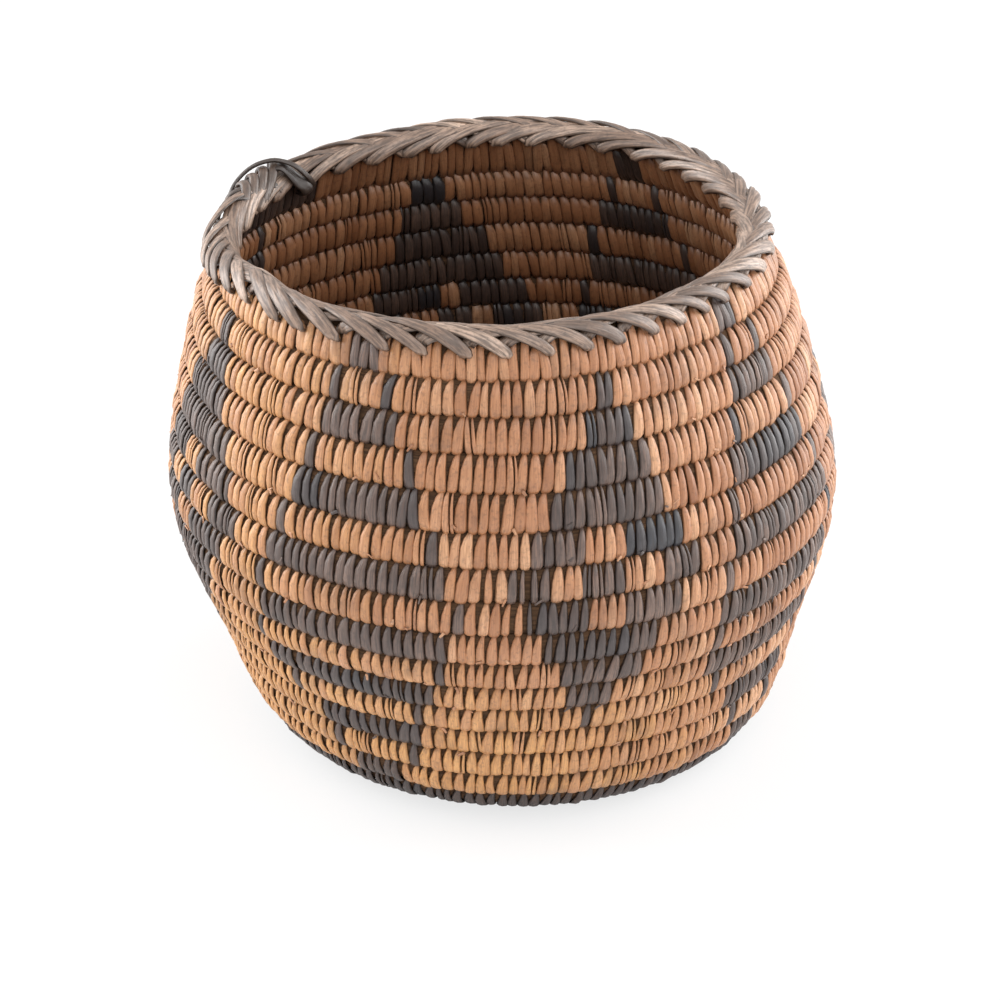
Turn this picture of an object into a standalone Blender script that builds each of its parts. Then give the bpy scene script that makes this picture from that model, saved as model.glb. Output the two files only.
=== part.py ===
# Coiled basket: one spiral foundation coil, sewn course to course with splints,
# started at a knot in the middle of the base and finished with a plaited rim.
# Metres, +Z up. The origin is the middle of the resting face, under the start knot.
# The coil is counted in turns from its end at the rim, down the wall and into the base.
import math

import bmesh
import bpy
import numpy as np

for old in list(bpy.data.objects):
    bpy.data.objects.remove(old)

MM = 0.001

# Outer face of the wall, as radius and height at four stations
RIM_RADIUS = 52.3 * MM
RIM_HEIGHT = 110.0 * MM
RIM_LEAN = 31.0  # degrees that the wall leans inwards at its upper edge
BELT_RADIUS = 68.0 * MM
BELT_HEIGHT = 56.0 * MM
HEEL_RADIUS = 58.5 * MM
HEEL_HEIGHT = 18.0 * MM
HEEL_LEAN = 13.0  # degrees that the wall leans outwards at the heel
FOOT_RADIUS = 44.5 * MM  # edge of the flat base

# How far each station's tangent pulls on the outline, as a share of the stretch
RIM_PULL = 0.22
BELT_PULL_UP = 0.12
BELT_PULL_DOWN = 0.42
HEEL_PULL_UP = 0.46
HEEL_PULL_DOWN = 0.5
FOOT_PULL = 0.22

# The coil
WALL_THICKNESS = 5.4 * MM
RIM_THICKNESS = 4.2 * MM  # the top course is a thinner bundle
WALL_COURSES = 16
BASE_COURSES = 6
COIL_START = 21.83  # turns from the rim at which the coil begins, beside the knot
COIL_END_ANGLE = 168.0  # direction in degrees, from +X, where the coil ends
END_TAPER = 0.12  # turns over which the end of the coil thins out
END_CUT = 0.035  # turns of the taper that are trimmed off as too thin
COURSE_WIDTHS = ((1, 8.2), (2, 6.7), (3, 6.8), (5, 7.8), (7, 6.6), (9, 7.0), (10, 6.2),
                 (12, 6.7), (15, 6.2), (16, 6.9), (17, 7.1), (23, 7.2))  # course, mm wide
# The rim stays high, so its course widens, and dips under the coil's end in its last fifth
RIM_EDGE = ((0.0, 0.0), (0.15, 1.4), (0.4, 2.6), (0.65, 2.1), (0.8, 2.4), (0.9, 4.6))  # turn, mm lower
KNOT_RADIUS = 5.0 * MM
KNOT_DOME = 0.6 * MM  # how far the knot's inner face swells above the base
KNOT_EDGE = 0.9 * MM  # height of its rounded edge

# Hand-made unevenness, fullest at the rim: waves per turn, size, direction in degrees
RADIUS_WAVES = ((2, 0.063, 33.0), (3, 0.038, 38.0), (4, 0.025, 65.0), (5, 0.020, 0.0))
HEIGHT_WAVES = ((1, 1.4 * MM, 112.0), (2, 1.3 * MM, 93.0), (3, 0.8 * MM, 0.0), (4, 0.5 * MM, 24.0))
RIM_SHIFT = -6.2 * MM  # the rim sits a little to the left of the base

# Stitching and rim
SPLINT_SKIN = 0.6 * MM  # thickness of the sewn splints round the foundation
CLEARANCE = 0.3 * MM  # between pieces that touch
CORNER_SPREAD = 1.45  # a diamond's corners move this much more than its sides do
RIDGE_SPREAD = 1.2  # the splints are this much thicker where courses meet
BRAID_LEGS = 43  # crossings from outside to inside in the whole rim
BRAID_LAPS = 3  # times that the one braiding splint goes round
BRAID_WIDTH = 2.1 * MM
BRAID_THICKNESS = 0.4 * MM
BRAID_BOW = 0.23  # a leg rises by this share of its width, so that its edges clear a crossing leg
BRAID_LEVEL = 4.0  # how level a leg runs over a crossing: near 0 is a plain wave
BRAID_REACH = 74.0  # degrees that a leg wraps down each side of the top course
BRAID_SEAT = 3.2 * MM  # depth of the braid's centre line below the coil's upper edge
BRAID_SIDE_ROOM = 0.65 * MM  # the braid's oval stands this far off the course's flat sides
BRAID_TOP_ROOM = 0.1 * MM
LASH_PLACE = -0.06  # turns from the coil's end to the lashing, where the braid starts and ends
LASH_PASSES = 5
LASH_SPACING = 3.1 * MM
LASH_WIDTH = 1.5 * MM
LASH_THICKNESS = 0.6 * MM
LASH_REACH = 66.0
LASH_LOOP_RISE = 3.0 * MM  # the pass that stands proud as a loop
LASH_LOOP_PASS = 2

# Height of an over-crossing above the braid's middle layer
BRAID_RISE = BRAID_THICKNESS / 2 + CLEARANCE / 2 + BRAID_BOW * BRAID_WIDTH

# Fineness of the facets
WALL_POINTS = 24  # stations in a turn of the wall and outer base
CENTRE_POINTS = 12  # stations in a turn of the inner base
CENTRE_FROM = 19  # turns from the rim where the coarser turns begin
BRAID_POINTS = 14  # stations from one braid crossing to the next on its side


def bezier(start, start_handle, end_handle, end, count):
    t = np.linspace(0.0, 1.0, count)[:, None]
    return ((1 - t) ** 3 * start + 3 * t * (1 - t) ** 2 * start_handle
            + 3 * t ** 2 * (1 - t) * end_handle + t ** 3 * end)


def along(lean):
    """Direction up the wall in the radius and height plane, for a lean inwards in degrees."""
    return np.array([-math.sin(math.radians(lean)), math.cos(math.radians(lean))])


def mid_station(radius, height, lean):
    """Point in the middle of the wall behind a station of its outer face."""
    outwards = np.array([math.cos(math.radians(lean)), math.sin(math.radians(lean))])
    return np.array([radius, height]) - outwards * WALL_THICKNESS / 2


def mid_outline():
    """Middle of the wall from the rim down and across the base to its centre."""
    rim = mid_station(RIM_RADIUS, RIM_HEIGHT, RIM_LEAN)
    belt = mid_station(BELT_RADIUS, BELT_HEIGHT, 0.0)
    heel = mid_station(HEEL_RADIUS, HEEL_HEIGHT, -HEEL_LEAN)
    foot = np.array([FOOT_RADIUS, WALL_THICKNESS / 2])
    centre = np.array([0.0, WALL_THICKNESS / 2])
    upper = np.linalg.norm(rim - belt)
    lower = np.linalg.norm(belt - heel)
    turn_in = np.linalg.norm(heel - foot)
    stretches = [
        bezier(rim, rim - along(RIM_LEAN) * RIM_PULL * upper,
               belt + along(0.0) * BELT_PULL_UP * upper, belt, 80),
        bezier(belt, belt - along(0.0) * BELT_PULL_DOWN * lower,
               heel + along(-HEEL_LEAN) * HEEL_PULL_UP * lower, heel, 60)[1:],
        bezier(heel, heel - along(-HEEL_LEAN) * HEEL_PULL_DOWN * turn_in,
               foot + np.array([FOOT_PULL * turn_in, 0.0]), foot, 50)[1:],
        np.linspace(foot, centre, 40)[1:],
    ]
    return np.vstack(stretches)


OUTLINE = mid_outline()
OUTLINE_ARC = np.concatenate([[0.0], np.cumsum(np.linalg.norm(np.diff(OUTLINE, axis=0), axis=1))])
COURSES = WALL_COURSES + BASE_COURSES
COURSE_NUMBERS = np.arange(COURSES + 2)  # one more than there are: the knot stands in its place


def course_edges():
    """Arc down the outline to the upper edge of each course, filling the outline exactly."""
    stations, widths = zip(*COURSE_WIDTHS)
    shares = np.interp(COURSE_NUMBERS[1:], stations, widths)
    edges = np.concatenate([[0.0], np.cumsum(shares)])
    return edges * OUTLINE_ARC[-1] / edges[-1]


EDGES = course_edges()


def rim_edge(turn):
    """Arc down the outline to the rim, which meets the second course's upper edge after one turn."""
    stations, drops = zip(*RIM_EDGE)
    return np.interp(turn, [*stations, 1.0], [*(drop * MM for drop in drops), EDGES[1]])


def upper_edge(turn):
    """Arc down the outline to the coil's upper edge, which thins away at the coil's end."""
    edge = rim_edge(turn) if turn < 1.0 else np.interp(turn, COURSE_NUMBERS, EDGES)
    left = min(max(1.0 - turn / END_TAPER, 0.0), 1.0)
    return edge + left * (np.interp(turn + 1, COURSE_NUMBERS, EDGES) - edge)


def lower_edge(turn):
    edge = np.interp(turn + 1, COURSE_NUMBERS, EDGES)
    return min(edge, OUTLINE_ARC[-1] - KNOT_RADIUS - CLEARANCE / 2)


def wave(waves, angle, share, power):
    """Sum of the hand-made waves, each fading towards the base."""
    total = 0.0
    for lobes, size, direction in waves:
        total += size * share ** power(lobes) * math.cos(lobes * (angle - math.radians(direction)))
    return total


def wall_point(arc, turn):
    """Point in the middle of the wall, at an arc down the outline and a turn round it."""
    radius = np.interp(arc, OUTLINE_ARC, OUTLINE[:, 0])
    height = np.interp(arc, OUTLINE_ARC, OUTLINE[:, 1])
    angle = math.radians(COIL_END_ANGLE + 360.0 * turn)
    base = WALL_THICKNESS / 2
    share = max(height - base, 0.0) / (RIM_HEIGHT - base)
    radius *= 1.0 + wave(RADIUS_WAVES, angle, share, lambda lobes: lobes / 2)
    height += wave(HEIGHT_WAVES, angle, share, lambda lobes: (lobes + 1) / 2)
    return np.array([radius * math.cos(angle) + RIM_SHIFT * share, radius * math.sin(angle), height])


def unit(vector):
    return vector / np.linalg.norm(vector)


def frame_at(arc, turn):
    """Outward and upward directions of the wall at a point of it."""
    step = 0.002
    up = unit(wall_point(arc - 0.5 * MM, turn) - wall_point(arc + 0.5 * MM, turn))
    forward = wall_point(arc, turn + step) - wall_point(arc, turn - step)
    outward = unit(np.cross(forward, up))
    return outward, up


def coil_section(turn):
    """Centre, outward and upward half sizes of the coil with its stitches, as vectors."""
    top = wall_point(upper_edge(turn) + CLEARANCE / 2, turn)
    bottom = wall_point(lower_edge(turn) - CLEARANCE / 2, turn)
    centre = (top + bottom) / 2
    step = 0.002
    forward = wall_point(upper_edge(turn), turn + step) - wall_point(upper_edge(turn), turn - step)
    outward = unit(np.cross(forward, top - bottom))
    thickness = np.interp(turn, (0.95, 1.3), (RIM_THICKNESS, WALL_THICKNESS))
    thinning = np.interp(turn, (0.0, END_TAPER), (0.5, 1.0))
    return centre, outward * thickness * thinning / 2, (top - bottom) / 2


def skin_at(outward, up):
    """Splint thickness, less where the coil is too thin for it."""
    return min(SPLINT_SKIN, 0.25 * np.linalg.norm(up), 0.25 * np.linalg.norm(outward))


def outer_ring(turn):
    """Six-sided outline of the stitched coil: flat faces in and out, ridges above and below."""
    centre, outward, up = coil_section(turn)
    return [centre + up, centre + outward + up / 2, centre + outward - up / 2,
            centre - up, centre - outward - up / 2, centre - outward + up / 2]


def diamond_ring(turn, margin):
    """Four-sided outline inside the stitches, smaller by a margin."""
    centre, outward, up = coil_section(turn)
    skin = skin_at(outward, up) + margin
    side = outward - unit(outward) * skin
    rise = up - unit(up) * skin * RIDGE_SPREAD
    return [centre + rise, centre + side, centre - rise, centre - side]


def turns_between(first, last):
    """Stations along the coil, at the same directions in every course."""
    points = WALL_POINTS if first < CENTRE_FROM else CENTRE_POINTS
    inner = [k / points for k in range(math.ceil(first * points), math.floor(last * points) + 1)]
    inner = [turn for turn in inner if first + 0.2 / points < turn < last - 0.2 / points]
    return [first] + inner + [last]


def material(name, colour, roughness, metallic=0.0):
    made = bpy.data.materials.new(name)
    made.use_nodes = True
    shader = made.node_tree.nodes["Principled BSDF"]
    shader.inputs["Base Color"].default_value = (*colour, 1.0)
    shader.inputs["Roughness"].default_value = roughness
    shader.inputs["Metallic"].default_value = metallic
    made.diffuse_color = (*colour, 1.0)
    return made


WILLOW = material("sewn willow splint", (0.36, 0.17, 0.07), 0.55)
DEVILS_CLAW = material("devil's claw splint", (0.045, 0.036, 0.032), 0.5)
BUNDLE = material("split grass bundle", (0.30, 0.17, 0.08), 0.7)


def add_object(name, vertices, faces, finish):
    mesh = bpy.data.meshes.new(name)
    mesh.from_pydata([tuple(vertex) for vertex in vertices], [], faces)
    body = bmesh.new()
    body.from_mesh(mesh)
    bmesh.ops.recalc_face_normals(body, faces=body.faces)
    body.to_mesh(mesh)
    body.free()
    mesh.materials.append(finish)
    mesh.shade_smooth()
    mesh.set_sharp_from_angle(angle=math.radians(40))
    made = bpy.data.objects.new(name, mesh)
    bpy.context.scene.collection.objects.link(made)
    return made


def tube_faces(rings, sides, first=0):
    faces = []
    for ring in range(rings - 1):
        for side in range(sides):
            here = first + ring * sides
            following = (side + 1) % sides
            faces.append((here + side, here + following, here + sides + following, here + sides + side))
    return faces


def add_tube(name, rings, finish):
    """One closed tube through a list of rings, with flat ends."""
    sides = len(rings[0])
    vertices = [point for ring in rings for point in ring]
    faces = tube_faces(len(rings), sides)
    faces.append(tuple(range(sides)))
    faces.append(tuple((len(rings) - 1) * sides + side for side in range(sides)))
    return add_object(name, vertices, faces, finish)


def add_sleeve(name, turns, finish):
    """Stitches of one course: a six-sided sleeve with a four-sided bore, open at both ends."""
    outer = [outer_ring(turn) for turn in turns]
    bore = [diamond_ring(turn, 0.0) for turn in turns]
    vertices = [point for ring in outer + bore for point in ring]
    first_bore = 6 * len(outer)
    faces = tube_faces(len(outer), 6) + tube_faces(len(bore), 4, first_bore)
    for ring in (0, len(turns) - 1):
        a = 6 * ring
        b = first_bore + 4 * ring
        faces += [(a, a + 1, b + 1, b), (a + 1, a + 2, b + 1), (a + 2, a + 3, b + 2, b + 1),
                  (a + 3, a + 4, b + 3, b + 2), (a + 4, a + 5, b + 3), (a + 5, a, b, b + 3)]
    return add_object(name, vertices, faces, finish)


def end_play(turn):
    """Half of the clearance between two courses' ends, in turns."""
    radius = np.hypot(*coil_section(min(turn, COIL_START))[0][:2])
    return CLEARANCE / 2 / (2 * math.pi * radius)


def add_courses():
    for course in range(1, COURSES + 1):
        first = max(course - 1 + end_play(course - 1), END_CUT)
        last = min(course - end_play(course), COIL_START)
        if course <= WALL_COURSES:
            name = f"wall_stitch_row_{course:02d}"
        else:
            name = f"base_stitch_row_{course - WALL_COURSES}"
        dark = course >= WALL_COURSES
        add_sleeve(name, turns_between(first, last), DEVILS_CLAW if dark else WILLOW)


def add_foundation():
    """The foundation as one unbroken tube from the rim to the knot, inside every course."""
    turns = turns_between(END_CUT, CENTRE_FROM)[:-1] + turns_between(CENTRE_FROM, COIL_START)
    margin = CLEARANCE * CORNER_SPREAD
    rings = [diamond_ring(turn, margin) for turn in turns]
    add_tube("foundation_coil", rings, BUNDLE)
    gaps = []
    for turn, ring in zip(turns, rings):
        if turn + 1 > COIL_START:
            continue
        below = diamond_ring(turn + 1, margin)
        gaps.append(min(np.linalg.norm(a - b) for a in ring for b in below))
    print(f"foundation coil: {COIL_START - END_CUT:.1f} loops, least gap to itself {min(gaps) / MM:.2f} mm")


def add_start_knot():
    """Knot of splint that the first turn is sewn to: flat below, domed above, with a tail
    that fills the space up to the coil's first turn."""
    step = CLEARANCE / (2 * math.pi * KNOT_RADIUS)
    turns = turns_between(COIL_START - 1 + step, COIL_START)
    reaches = [max(KNOT_RADIUS, OUTLINE_ARC[-1] - lower_edge(turn) - CLEARANCE / 2) for turn in turns]
    profile = [(0.6, 0.0), (1.0, KNOT_EDGE), (1.0, WALL_THICKNESS - KNOT_EDGE),
               (0.6, WALL_THICKNESS + KNOT_DOME)]
    rings = []
    for share, height in profile:
        ring = []
        for turn, reach in zip(turns, reaches):
            angle = math.radians(COIL_END_ANGLE + 360.0 * turn)
            ring.append(np.array([reach * share * math.cos(angle), reach * share * math.sin(angle), height]))
        rings.append(ring)
    add_tube("start_knot", rings, DEVILS_CLAW)


def station_seat(turn):
    """Centre, outward and upward directions of the rim's saddle at one of the coil's stations."""
    turn = turn % 1.0
    arc = upper_edge(turn) + BRAID_SEAT
    outward, up = frame_at(arc, turn)
    return np.array([wall_point(arc, turn), outward, up])


SEATS = [station_seat(number / WALL_POINTS) for number in range(WALL_POINTS)]


def rim_seat(turn):
    """The saddle between two stations, so that the braid lies on the coil's own facets."""
    place = (turn % 1.0) * WALL_POINTS
    before = int(place)
    return SEATS[before] + (place - before) * (SEATS[(before + 1) % WALL_POINTS] - SEATS[before])


def saddle(turn, reach, lift):
    """Point over the rim: reach in degrees, outside negative; lift above the braid's layer."""
    centre, outward, up = rim_seat(turn)
    layer = CLEARANCE + BRAID_RISE + BRAID_THICKNESS / 2
    across = RIM_THICKNESS / 2 + BRAID_SIDE_ROOM + layer + lift
    rise = BRAID_SEAT + BRAID_TOP_ROOM + layer + lift
    swing = math.radians(reach)
    point = centre - outward * across * math.sin(swing) + up * rise * math.cos(swing)
    normal = unit(-outward * math.sin(swing) / across + up * math.cos(swing) / rise)
    return point, normal


def ribbon_faces(rings):
    """Faces along a splint, with the same diagonals on its two broad sides, so it keeps its thickness."""
    faces = []
    for first in range(0, 4 * (rings - 1), 4):
        left, right, right_below, left_below = range(first, first + 4)
        next_left, next_right, next_right_below, next_left_below = range(first + 4, first + 8)
        faces += [(left, right, next_right), (left, next_right, next_left),
                  (right_below, left_below, next_right_below),
                  (left_below, next_left_below, next_right_below),
                  (right, right_below, next_right_below, next_right),
                  (left_below, left, next_left, next_left_below)]
    return faces


def add_ribbon(name, path, width, thickness, finish):
    """Flat splint along a path of points and surface normals."""
    points = np.array([point for point, normal in path])
    rings = []
    for index, (point, normal) in enumerate(path):
        before = points[max(index - 1, 0)]
        after = points[min(index + 1, len(path) - 1)]
        forward = unit(after - before)
        side = unit(np.cross(forward, normal)) * width / 2
        face = unit(np.cross(side, forward)) * thickness / 2
        rings.append([point + side + face, point - side + face, point - side - face, point + side - face])
    vertices = [point for ring in rings for point in ring]
    last = len(vertices) - 4
    faces = ribbon_faces(len(rings)) + [(0, 1, 2, 3), (last, last + 1, last + 2, last + 3)]
    return add_object(name, vertices, faces, finish)


def add_braid():
    """Plaited rim from one splint that goes round three times, crossing over and under itself."""
    count = BRAID_LEGS * BRAID_POINTS
    path = []
    for step in range(1, count):
        turn = BRAID_LAPS * step / count
        phase = 2 * math.pi * BRAID_LEGS * step / count
        lift = BRAID_RISE * math.tanh(BRAID_LEVEL * math.sin(2 * phase))
        path.append(saddle(LASH_PLACE + turn, BRAID_REACH * math.sin(phase), lift))
    add_ribbon("rim_braid", path, BRAID_WIDTH, BRAID_THICKNESS, DEVILS_CLAW)


def add_lashing():
    """Splint laid to and fro over the end of the braid, one pass standing proud as a loop."""
    above_braid = BRAID_RISE + BRAID_THICKNESS / 2 + CLEARANCE + LASH_THICKNESS / 2
    girth = 2 * math.pi * RIM_RADIUS
    reach_arc = math.radians(LASH_REACH) * (BRAID_SEAT + above_braid)
    bend = LASH_SPACING / 2
    path = []
    for number in range(LASH_PASSES):
        direction = 1 if number % 2 == 0 else -1
        offset = (number - (LASH_PASSES - 1) / 2) * LASH_SPACING
        for step in range(-5, 6):
            across = direction * step / 5
            loop = LASH_LOOP_RISE * math.cos(across * math.pi / 2) ** 2 if number == LASH_LOOP_PASS else 0.0
            path.append(saddle(LASH_PLACE + offset / girth, LASH_REACH * across, above_braid + loop))
        if number == LASH_PASSES - 1:
            continue
        for step in (1, 2, 3):
            swing = math.pi * step / 4
            extra = direction * bend * math.sin(swing) / reach_arc
            shift = offset + bend * (1 - math.cos(swing))
            path.append(saddle(LASH_PLACE + shift / girth, LASH_REACH * (direction + extra), above_braid))
    add_ribbon("rim_end_lashing", path, LASH_WIDTH, LASH_THICKNESS, DEVILS_CLAW)


add_start_knot()
add_foundation()
add_courses()
add_braid()
add_lashing()
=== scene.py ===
import bpy
import numpy as np
from mathutils import Matrix, Vector


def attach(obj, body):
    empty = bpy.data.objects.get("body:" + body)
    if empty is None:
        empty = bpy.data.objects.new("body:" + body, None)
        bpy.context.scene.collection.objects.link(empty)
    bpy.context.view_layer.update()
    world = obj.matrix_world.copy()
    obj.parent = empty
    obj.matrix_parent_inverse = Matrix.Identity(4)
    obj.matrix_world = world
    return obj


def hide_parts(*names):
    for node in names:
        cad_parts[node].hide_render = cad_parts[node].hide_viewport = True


# Coiled basket: one spiral bundle sewn course to course with split willow and devil's claw.
# The looks are worked out in millimetres and turns of the coil, counted from its end at the rim.
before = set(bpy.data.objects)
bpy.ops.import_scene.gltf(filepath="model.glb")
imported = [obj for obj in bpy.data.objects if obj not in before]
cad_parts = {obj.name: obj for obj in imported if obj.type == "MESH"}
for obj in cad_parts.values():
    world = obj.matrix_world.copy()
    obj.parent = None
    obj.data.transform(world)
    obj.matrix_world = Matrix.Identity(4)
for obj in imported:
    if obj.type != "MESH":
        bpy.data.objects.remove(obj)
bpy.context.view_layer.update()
rng = np.random.default_rng(184)
mm = 0.001

# Shape of the wall and coil: the same stations as the frame's solids
basket = {
    "rimRadius": 52.3, "rimHeight": 110.0, "rimLean": 31.0,
    "beltRadius": 68.0, "beltHeight": 56.0,
    "heelRadius": 58.5, "heelHeight": 18.0, "heelLean": 13.0,
    "footRadius": 44.5,
    "rimPull": 0.22, "beltPullUp": 0.12, "beltPullDown": 0.42,
    "heelPullUp": 0.46, "heelPullDown": 0.5, "footPull": 0.22,
    "stretchPoints": (80, 60, 50, 40),  # of the outline: rim to belt, to heel, to foot, to centre
    "wall": 5.4, "rimWall": 4.2, "rimWallTurns": (0.95, 1.3),  # turns over which it thickens to the wall
    "wallCourses": 16, "beltCourse": 9, "courses": 22,
    "coilStart": 21.83, "coilEndAngle": 168.0, "endTaper": 0.12, "endCut": 0.035, "endWall": 0.5,
    "courseWidths": ((1, 8.2), (2, 6.7), (3, 6.8), (5, 7.8), (7, 6.6), (9, 7.0), (10, 6.2),
                     (12, 6.7), (15, 6.2), (16, 6.9), (17, 7.1), (23, 7.2)),
    "rimEdge": ((0, 0), (0.15, 1.4), (0.4, 2.6), (0.65, 2.1), (0.8, 2.4), (0.9, 4.6)),  # turn, mm lower
    "knotRadius": 5.0, "clearance": 0.3,
    "radiusWaves": ((2, 0.063, 33.0), (3, 0.038, 38.0), (4, 0.025, 65.0), (5, 0.020, 0.0)),
    "heightWaves": ((1, 1.4, 112.0), (2, 1.3, 93.0), (3, 0.8, 0.0), (4, 0.5, 24.0)),
    "rimShift": -6.2,
    "slopeStep": 0.002,  # turns to each side over which the coil's direction is measured
    "overFloor": 0.02,  # mm that the lowest splints keep over the floor
}


def unit(vectors):
    # each vector divided by its length
    return vectors / np.linalg.norm(vectors, axis=-1, keepdims=True)


def between(values, low, high):
    return (values >= low) & (values <= high)


def bezierCurve(start, startHandle, endHandle, end, count):
    # cubic Bezier: (1-t)^3 a + 3t(1-t)^2 b + 3t^2(1-t) c + t^3 d
    t = np.linspace(0, 1, count)[:, None]
    return ((1 - t) ** 3 * start + 3 * t * (1 - t) ** 2 * startHandle
            + 3 * t ** 2 * (1 - t) * endHandle + t ** 3 * end)


def leanUp(lean):
    # direction up the wall, as radius and height, where it leans in by so many degrees
    return np.array([-np.sin(np.radians(lean)), np.cos(np.radians(lean))])


def midWall(radius, height, lean):
    # half a wall inwards from a point of the outer face
    outward = np.array([leanUp(lean)[1], -leanUp(lean)[0]])
    return np.array([radius, height]) - outward * basket["wall"] / 2


def wallOutline():
    # middle of the wall, as radius and height, from the rim by belt, heel and foot to the centre;
    # each stretch's handles are shares of the distance between its ends
    rimPoint = midWall(basket["rimRadius"], basket["rimHeight"], basket["rimLean"])
    belt = midWall(basket["beltRadius"], basket["beltHeight"], 0)
    heel = midWall(basket["heelRadius"], basket["heelHeight"], -basket["heelLean"])
    foot = np.array([basket["footRadius"], basket["wall"] / 2])
    stretches = ((rimPoint, belt), (belt, heel), (heel, foot))
    upper, lower, turnIn = (np.linalg.norm(above - below) for above, below in stretches)
    upRim, upBelt, upHeel = leanUp(basket["rimLean"]), leanUp(0), leanUp(-basket["heelLean"])
    counts = basket["stretchPoints"]
    points = np.vstack([
        bezierCurve(rimPoint, rimPoint - upRim * basket["rimPull"] * upper,
                    belt + upBelt * basket["beltPullUp"] * upper, belt, counts[0]),
        bezierCurve(belt, belt - upBelt * basket["beltPullDown"] * lower,
                    heel + upHeel * basket["heelPullUp"] * lower, heel, counts[1])[1:],
        bezierCurve(heel, heel - upHeel * basket["heelPullDown"] * turnIn,
                    foot + np.array([basket["footPull"] * turnIn, 0]), foot, counts[2])[1:],
        np.linspace(foot, [0, basket["wall"] / 2], counts[3])[1:]])
    arc = np.concatenate([[0], np.cumsum(np.linalg.norm(np.diff(points, axis=0), axis=1))])
    return arc, points


outlineArc, outline = wallOutline()
courseNumbers = np.arange(basket["courses"] + 2)
courseSteps = np.interp(courseNumbers[1:], *zip(*basket["courseWidths"]))
courseEdges = np.concatenate([[0], np.cumsum(courseSteps)])
courseEdges *= outlineArc[-1] / courseEdges[-1]  # the courses fill the outline exactly


def turnAngle(turn):
    return np.radians(basket["coilEndAngle"] + 360 * turn)


def wallPoint(arc, turn):
    # outline radius and height at the arc, turned by the coil's angle; cosine waves that grow with
    # height stretch the radius and lift the height, and the whole shifts sideways towards the rim
    radius = np.interp(arc, outlineArc, outline[:, 0])
    height = np.interp(arc, outlineArc, outline[:, 1])
    angle = turnAngle(turn)
    half = basket["wall"] / 2
    share = np.maximum(height - half, 0) / (basket["rimHeight"] - half)
    stretch, lift = 1.0, 0.0
    for lobes, size, direction in basket["radiusWaves"]:
        stretch = stretch + size * share ** (lobes / 2) * np.cos(lobes * (angle - np.radians(direction)))
    for lobes, size, direction in basket["heightWaves"]:
        lift = lift + size * share ** ((lobes + 1) / 2) * np.cos(lobes * (angle - np.radians(direction)))
    radius = radius * stretch
    across = radius * np.cos(angle) + basket["rimShift"] * share
    return np.stack([across, radius * np.sin(angle), height + lift], axis=-1)


rimStations, rimDrops = (np.array(column) for column in zip(*basket["rimEdge"]))
rimStations = np.append(rimStations, courseNumbers[1:])
rimDrops = np.append(rimDrops, courseEdges[1:])


def upperEdge(turn):
    # arc of the coil's upper edge, sliding down a course where the coil's end thins away; the rim
    # stays high, and meets the second course's edge after one turn
    edge = np.interp(turn, rimStations, rimDrops)
    left = np.clip(1 - turn / basket["endTaper"], 0, 1)
    return edge + left * (np.interp(turn + 1, courseNumbers, courseEdges) - edge)


def lowerEdge(turn):
    # arc of the coil's lower edge, which stops clear of the knot
    edge = np.interp(turn + 1, courseNumbers, courseEdges)
    return np.minimum(edge, outlineArc[-1] - basket["knotRadius"] - basket["clearance"] / 2)


def alongCoil(arc, turn):
    # vector along the coil: the point a little further on less the point a little before
    step = basket["slopeStep"]
    return wallPoint(arc, turn + step) - wallPoint(arc, turn - step)


def courseSection(turn):
    # centre of the coil, its outward, upward and forward unit vectors, half thickness and half width
    top = wallPoint(upperEdge(turn), turn)
    bottom = wallPoint(lowerEdge(turn), turn)
    up = unit(top - bottom)
    outward = unit(np.cross(unit(alongCoil(upperEdge(turn), turn)), up))
    forward = np.cross(up, outward)
    thickness = np.interp(turn, basket["rimWallTurns"], (basket["rimWall"], basket["wall"]))
    thickness = thickness * np.interp(turn, (0, basket["endTaper"]), (basket["endWall"], 1))
    halfWide = np.linalg.norm(top - bottom, axis=-1) / 2
    return (top + bottom) / 2, outward, up, forward, thickness / 2, halfWide


# Materials

def linear(hexColour):
    # sRGB hex to linear: ((c + 0.055) / 1.055)^2.4 above 0.04045, c / 12.92 below
    channels = [int(hexColour[first:first + 2], 16) / 255 for first in (1, 3, 5)]
    return [((c + 0.055) / 1.055) ** 2.4 if c > 0.04045 else c / 12.92 for c in channels] + [1.0]


def node(tree, kind, inputs=None, **settings):
    # one node: its settings, then each input as a value or as another node's socket
    made = tree.nodes.new(kind)
    for key, value in settings.items():
        setattr(made, key, value)
    for key, value in (inputs or {}).items():
        if isinstance(value, bpy.types.NodeSocket):
            tree.links.new(value, made.inputs[key])
        else:
            made.inputs[key].default_value = value
    return made


# What all the finishes share: the values at which each mark starts and is full, and its strength
marks = {
    "middleTone": (0.0, 0.55), "lightTone": (0.5, 1.0), "golden": (0.0, 1.0), "goldDepth": 0.75,
    # the shaded end is painted shade, where a splint goes into the wall or lies in shade
    "streaks": (0.36, 0.66), "stains": (0.5, 0.74), "specks": (0.5, 0.72), "shadedEnd": (0.25, 1.0),
    "grain": (0.3, 0.7), "rougher": 0.08, "smoother": 0.06,
    "grainDepth": 0.12,  # mm
    "woodIor": 1.5,
}


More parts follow.
